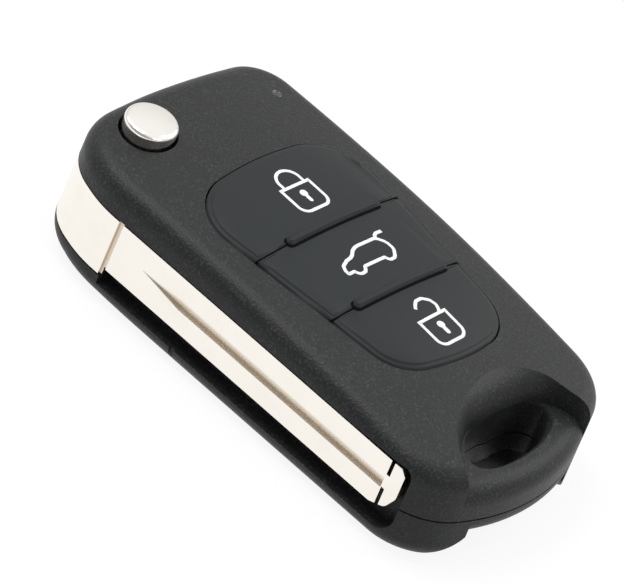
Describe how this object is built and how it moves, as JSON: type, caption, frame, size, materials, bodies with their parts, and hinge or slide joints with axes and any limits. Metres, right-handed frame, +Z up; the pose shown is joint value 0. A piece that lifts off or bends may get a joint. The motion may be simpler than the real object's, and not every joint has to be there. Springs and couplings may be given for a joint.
{
  "type": "flip remote key",
  "caption": "Folding car key: steel blade flips out of the side of a dark remote with a release button, lock, boot and unlock keys, and a key-ring loop.",
  "frame": {"origin": "middle of the folded key's outline, on the surface that it rests on", "axes": "X along the key from the blade pivot to the key-ring loop, Y across it away from the blade, Z up through the keypad"},
  "size_m": [0.0784, 0.042, 0.022],
  "materials": {
    "shell": "fine grained",
    "keypad": "smooth satin",
    "chrome": "bright plated",
    "blade": "nickel plated",
    "light_guide": "smoked clear",
    "tray": "matte",
    "board": "solder mask",
    "switch": "tinned",
    "chip": "moulded",
    "contact": "plated",
    "cell": "bright can",
    "screw": "blackened",
    "spring": "drawn wire"
  },
  "bodies": {
    "fob": {"upper_shell": "shell", "lower_shell": "shell", "battery_cover": "shell", "keypad_frame": "shell", "led_window": "light_guide", "electronics_tray": "tray", "circuit_board": "board", "lock_switch": "switch", "boot_switch": "switch", "unlock_switch": "switch", "controller_chip": "chip", "radio_chip": "chip", "crystal": "contact", "status_led": "light_guide", "transponder": "chip", "coin_cell": "cell", "battery_contact_positive": "contact", "battery_contact_negative": "contact", "case_screws": "screw", "pivot_spring": "spring"},
    "blade": {"blade_head": "chrome", "key_blade": "blade", "blade_pin": "blade"},
    "release": {"release_button": "chrome"},
    "lock": {"lock_key": "keypad"},
    "boot": {"boot_key": "keypad"},
    "unlock": {"unlock_key": "keypad"}
  },
  "joints": [
    {"name": "blade_swing", "type": "hinge", "parent": "fob", "child": "blade", "pos_m": [-0.03234, -0.00979, 0.011], "axis": [0, 0, -1], "range_deg": [0, 180]},
    {"name": "release_press", "type": "slide", "parent": "blade", "child": "release", "axis": [0, 0, -1], "range_m": [0, 0.0018], "stiffness_N_per_m": 600, "springref_m": -0.004, "deforming": ["pivot_spring"]},
    {"name": "lock_press", "type": "slide", "parent": "fob", "child": "lock", "axis": [0, 0, -1], "range_m": [0, 0.0006], "stiffness_N_per_m": 1500, "springref_m": -0.0006},
    {"name": "boot_press", "type": "slide", "parent": "fob", "child": "boot", "axis": [0, 0, -1], "range_m": [0, 0.0006], "stiffness_N_per_m": 1500, "springref_m": -0.0006},
    {"name": "unlock_press", "type": "slide", "parent": "fob", "child": "unlock", "axis": [0, 0, -1], "range_m": [0, 0.0006], "stiffness_N_per_m": 1500, "springref_m": -0.0006}
  ]
}
